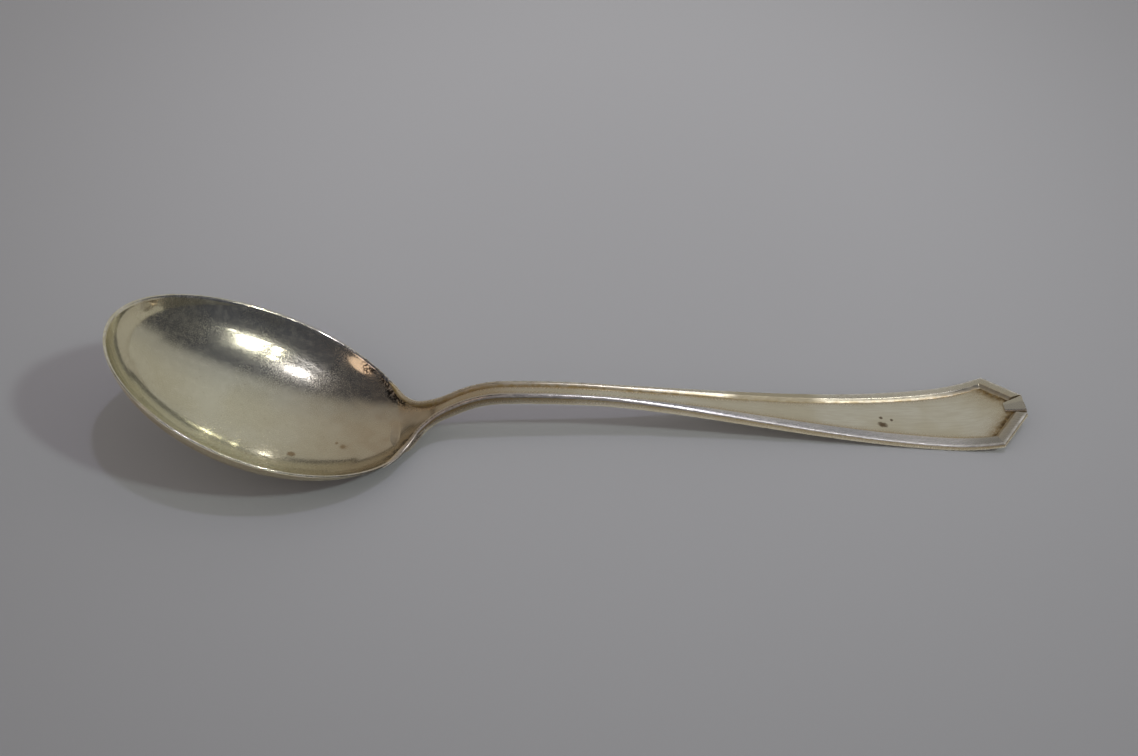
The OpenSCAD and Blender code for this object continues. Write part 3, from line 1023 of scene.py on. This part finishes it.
def moulding_silver():
    """Bright silver, rubbed along its edges and darker at the end, with a painted reflection that yellows
    the right side and painted shade on the left end and on a stretch of the right thread.
    """
    material, tree, place = new_silver("moulding_silver")
    clouds = noise(tree, place, per_mm=0.12, detail=2, stretch=(0.5, 1, 1))
    mottle = noise(tree, place, per_mm=0.9, detail=3)
    grain = noise(tree, place, per_mm=2, detail=3, stretch=(0.15, 2, 2))
    wear = attribute(tree, "wear")
    recess_and_shade = attribute(tree, "recess_and_shade")
    right = on_right(tree, place)
    end = at_end(tree, place)
    left_end_shade = times(tree, end, spread(tree, right, 1, 0, 0, LEFT_END_SHADE_MOST))
    brown = times(tree, heel_share(tree, place, MOULDING_BROWN_REACH), MOULDING_BROWN_MOST)
    rubbed = times(tree, wear, between(tree, mottle, MOULDING_RUBBED_LEAST, 1))
    dull_and_shaded = dull_shaded_stretch(tree, place)
    colour = blend(tree, clouds, MOULDING_PALE, MOULDING_DEEP)
    # Painted reflection on the right side
    colour = blend(tree, times(tree, right, RIGHT_REFLECTION_MOST), colour, RIGHT_REFLECTION_TINT)
    colour = blend(tree, end, colour, END_TINT)
    # Painted shade on the left end
    colour = blend(tree, left_end_shade, colour, LEFT_END_SHADE_TINT)
    colour = blend(tree, brown, colour, BROWN)
    colour = recessed_and_shaded(tree, colour, mottle, MOULDING_RECESS, MOULDING_RECESS_LEAST)
    colour = blend(tree, rubbed, colour, RUBBED)
    # Painted shade on the dull stretch of the right thread
    colour = blend(tree, times(tree, dull_and_shaded, DULL_SHADE_MOST), colour, DULL_SHADE_TINT)
    roughness = plus(tree, MOULDING_ROUGHNESS, grain, MOULDING_GRAIN_ROUGHNESS)
    roughness = plus(tree, roughness, dull_and_shaded, DULL_ROUGHNESS)
    roughness = plus(tree, roughness, wear, MOULDING_WEAR_ROUGHNESS)
    roughness = plus(tree, roughness, recess_and_shade, MOULDING_RECESS_ROUGHNESS)
    metal = between(tree, recess_and_shade, 1, MOULDING_RECESS_METAL)
    finish_silver(tree, colour, metal, roughness, grain, clouds)
    return material


# Stage: table, lights and camera, in metres
TABLE_REACH = 4
# Painted light on the table: darker near the camera and paler far away
TABLE_NEAR_SHADED = (0.207, 0.2105, 0.2185, 1)
TABLE_NEAR_Y = -0.25
TABLE_FAR_LIT = (0.391, 0.398, 0.416, 1)
TABLE_FAR_Y = 0.3
TABLE_ROUGHNESS = 0.8
TABLE_SPECULAR = 0.2
# Painted shade darkens the table outwards from a place beside the spoon, more slowly in Y than in X
TABLE_EDGE_SHADE = (0.12, 0.12, 0.122, 1)
EDGE_STRETCH = (1, 0.7, 0)
EDGE_SHIFT = (-0.015, -0.042, 0)
EDGE_START = 0.05
EDGE_END = 0.21
EDGE_MOST = 0.5
# Painted reflection: the silver mirrors the table dark on the camera's side, and pale on the far side and by
# the bowl's tip
MIRRORED_DARK = (0.06, 0.058, 0.055, 1)
MIRRORED_PALE = (0.38, 0.365, 0.33, 1)
MIRRORED_SLANT = 0.25
MIRRORED_DARK_Y = -0.022
MIRRORED_PALE_Y = -0.004
MIRRORED_DARK_X = -0.035
MIRRORED_PALE_X = -0.05


def painted_table_light(tree, place):
    """The table's colour with painted light: paler on its far side, and painted shade towards its edges."""
    far = spread(tree, coordinate(tree, place, "Y"), TABLE_NEAR_Y, TABLE_FAR_Y)
    paint = blend(tree, far, TABLE_NEAR_SHADED, TABLE_FAR_LIT)
    beside = vector_calc(tree, "MULTIPLY_ADD", place, EDGE_STRETCH, EDGE_SHIFT)["Vector"]
    away = vector_calc(tree, "LENGTH", beside)["Value"]
    return blend(tree, spread(tree, away, EDGE_START, EDGE_END, 0, EDGE_MOST), paint, TABLE_EDGE_SHADE)


def mirrored_paint(tree, place):
    """The table's painted reflection colour, as the silver mirrors it."""
    along = coordinate(tree, place, "X")
    slanted = plus(tree, coordinate(tree, place, "Y"), along, MIRRORED_SLANT)
    pale_side = spread(tree, slanted, MIRRORED_DARK_Y, MIRRORED_PALE_Y)
    pale_tip = spread(tree, along, MIRRORED_DARK_X, MIRRORED_PALE_X)
    return blend(tree, calc(tree, "MAXIMUM", pale_side, pale_tip), MIRRORED_DARK, MIRRORED_PALE)


def make_table():
    """The table that the spoon lies on, with painted light on the colour that is seen, and a painted
    reflection colour for the silver to mirror.
    """
    corners = [(-TABLE_REACH, -TABLE_REACH, 0), (TABLE_REACH, -TABLE_REACH, 0),
               (TABLE_REACH, TABLE_REACH, 0), (-TABLE_REACH, TABLE_REACH, 0)]
    mesh = bpy.data.meshes.new("table_top")
    mesh.from_pydata(corners, [], [(0, 1, 2, 3)])
    material = bpy.data.materials.new("painted_table_light")
    material.use_nodes = True
    tree = material.node_tree
    shader = tree.nodes["Principled BSDF"]
    place = add(tree, "ShaderNodeTexCoord").outputs["Object"]
    in_silver = add(tree, "ShaderNodeLightPath").outputs["Is Glossy Ray"]
    colour = blend(tree, in_silver, painted_table_light(tree, place), mirrored_paint(tree, place))
    tree.links.new(colour, shader.inputs["Base Color"])
    shader.inputs["Roughness"].default_value = TABLE_ROUGHNESS
    shader.inputs["Specular IOR Level"].default_value = TABLE_SPECULAR
    mesh.materials.append(material)
    table = bpy.data.objects.new("table_top", mesh)
    bpy.context.scene.collection.objects.link(table)


def direction(azimuth, elevation):
    """A direction from the spoon. Azimuth 0 is away from the camera, and 90 is along the handle."""
    a = math.radians(azimuth)
    e = math.radians(elevation)
    return Vector((math.sin(a) * math.cos(e), math.cos(a) * math.cos(e), math.sin(e)))


def make_lamp(name, place, target, size, power, colour):
    """A round or oval lamp that faces a target, and that is not seen itself."""
    lamp = bpy.data.lights.new(name, "AREA")
    lamp.shape = "ELLIPSE"
    lamp.size = size[0]
    lamp.size_y = size[1]
    lamp.energy = power
    lamp.color = colour
    light = bpy.data.objects.new(name, lamp)
    light.location = place
    light.rotation_mode = "QUATERNION"
    light.rotation_quaternion = (place - target).to_track_quat("Z", "Y")
    light.visible_camera = False
    bpy.context.scene.collection.objects.link(light)
    return light


def light_table(name, angles, distance, size, power, colour):
    """A lamp that lights the table and casts shadows on it, without a glint in the silver."""
    place = direction(*angles) * distance
    make_lamp(name, place, Vector((0, 0, 0)), (size, size), power, colour).visible_glossy = False


GLOW_DISTANCE = 6
BOWL_CENTRE = Vector((-0.06, 0, 0.01))


def light_silver(name, angles, spans, strength, colour):
    """A lamp that shows in the silver only, as wide and as high as its spans in degrees.

    Strength is its light on a facing square metre.
    """
    place = BOWL_CENTRE + direction(*angles) * GLOW_DISTANCE
    size = [2 * GLOW_DISTANCE * math.tan(math.radians(span) / 2) for span in spans]
    power = strength * math.pi * GLOW_DISTANCE ** 2
    make_lamp(name, place, BOWL_CENTRE, size, power, colour).visible_diffuse = False


CREAM = (1.0, 0.97, 0.86)
LILAC = (0.92, 0.9, 1.0)
ROSE = (1.0, 0.76, 0.62)
PEACH = (1.0, 0.8, 0.66)
# Each with its name, azimuth and elevation, distance, size, power and colour
TABLE_LAMPS = [
    ("overhead_lamp", (136.7, 77.8), 0.8, 0.035, 1.12, (0.77, 0.77, 1.0)),
    ("side_lamp", (126.4, 46.8), 1.5, 0.11, 7.3, (0.89, 1.0, 0.95))]
# Each with its name, azimuth and elevation, spans, strength and colour
SILVER_GLOWS = [
    ("side_glow_1", (120, 45.5), (3, 4), 0.4, CREAM),
    ("side_glow_2", (121, 36), (4, 3), 0.009, CREAM),
    ("side_glow_3", (127, 49), (2.4, 1.6), 0.025, CREAM),
    ("side_glow_4", (129, 55), (2.4, 2), 0.025, CREAM),
    ("side_glow_5", (118, 57), (3, 2), 0.03, CREAM),
    ("overhead_glow", (114, 69), (3, 3), 0.4, LILAC),
    ("left_glow", (-144, 44), (17, 23), 0.12, ROSE),
    ("heel_glow", (-100, 40), (34, 14), 0.02, PEACH)]


def make_lamps():
    for lamp in TABLE_LAMPS:
        light_table(*lamp)
    for glow in SILVER_GLOWS:
        light_silver(*glow)


# Colours of the world, and how far a direction points away from the camera, in Y, where they change
ROOM = (0.052, 0.054, 0.069, 1)
ROOM_Y = 0.05
WALL_Y = 0.29
WALL_TOP = (0.31, 0.303, 0.296, 1)
WALL_TOP_Y = 0.25
WALL = (0.39, 0.375, 0.345, 1)
WALL_LOW_Y = 0.65
SOFT_FAR = (0.342, 0.315, 0.298, 1)
SOFT_NEAR = (0.878, 0.808, 0.764, 1)
OPEN_VIEW = (0.3, 0.3, 0.31, 1)


def make_world():
    """A pale wall behind the spoon and a dim room on the camera's side, as the silver mirrors them.

    The soft light on the table comes mostly from the camera's side.
    """
    world = bpy.data.worlds.new("studio")
    bpy.context.scene.world = world
    world.use_nodes = True
    tree = world.node_tree
    far = coordinate(tree, add(tree, "ShaderNodeTexCoord").outputs["Generated"], "Y")
    side = spread(tree, far, ROOM_Y, WALL_Y)
    wall = blend(tree, spread(tree, far, WALL_TOP_Y, WALL_LOW_Y), WALL_TOP, WALL)
    path = add(tree, "ShaderNodeLightPath").outputs
    mirrored_light = blend(tree, side, ROOM, wall)
    soft_light = blend(tree, side, SOFT_NEAR, SOFT_FAR)
    light = blend(tree, path["Is Glossy Ray"], soft_light, mirrored_light)
    colour = blend(tree, path["Is Camera Ray"], light, OPEN_VIEW)
    tree.links.new(colour, tree.nodes["Background"].inputs["Color"])


CAMERA_AZIMUTH = math.radians(-4.371)
CAMERA_ELEVATION = math.radians(42.435)
CAMERA_ROLL = math.radians(1.32)
CAMERA_DISTANCE = 0.33965
CAMERA_TARGET = Vector((-0.001654, 0.016215, 0))
CAMERA_LENS = 52.05
CAMERA_SENSOR = 36
CAMERA_CLIP = 0.01


def make_camera():
    back = Vector((math.sin(CAMERA_AZIMUTH) * math.cos(CAMERA_ELEVATION),
                   -math.cos(CAMERA_AZIMUTH) * math.cos(CAMERA_ELEVATION),
                   math.sin(CAMERA_ELEVATION)))
    level = Vector((math.cos(CAMERA_AZIMUTH), math.sin(CAMERA_AZIMUTH), 0))
    rise = back.cross(level)
    right = level * math.cos(CAMERA_ROLL) + rise * math.sin(CAMERA_ROLL)
    up = rise * math.cos(CAMERA_ROLL) - level * math.sin(CAMERA_ROLL)
    data = bpy.data.cameras.new("camera")
    data.lens = CAMERA_LENS
    data.sensor_width = CAMERA_SENSOR
    data.clip_start = CAMERA_CLIP
    camera = bpy.data.objects.new("camera", data)
    place = Matrix((right, up, back)).transposed().to_4x4()
    place.translation = CAMERA_TARGET + back * CAMERA_DISTANCE
    camera.matrix_world = place
    bpy.context.scene.collection.objects.link(camera)
    bpy.context.scene.camera = camera


bpy.context.scene.view_settings.view_transform = "Standard"
make_camera()
make_world()
make_table()
make_lamps()

mouldings = moulding_silver()
install(make_bowl(bowl_silver()), "bowl")
install(make_handle(handle_silver()), "handle")
install(make_thread("left_thread", -1, mouldings), "left_edge_thread")
install(make_thread("right_thread", 1, mouldings), "right_edge_thread")
install(make_end_bar("left_end_bar", -1, mouldings), "left_end_moulding")
install(make_end_bar("right_end_bar", 1, mouldings), "right_end_moulding")
install(make_keystone(mouldings), "keystone")
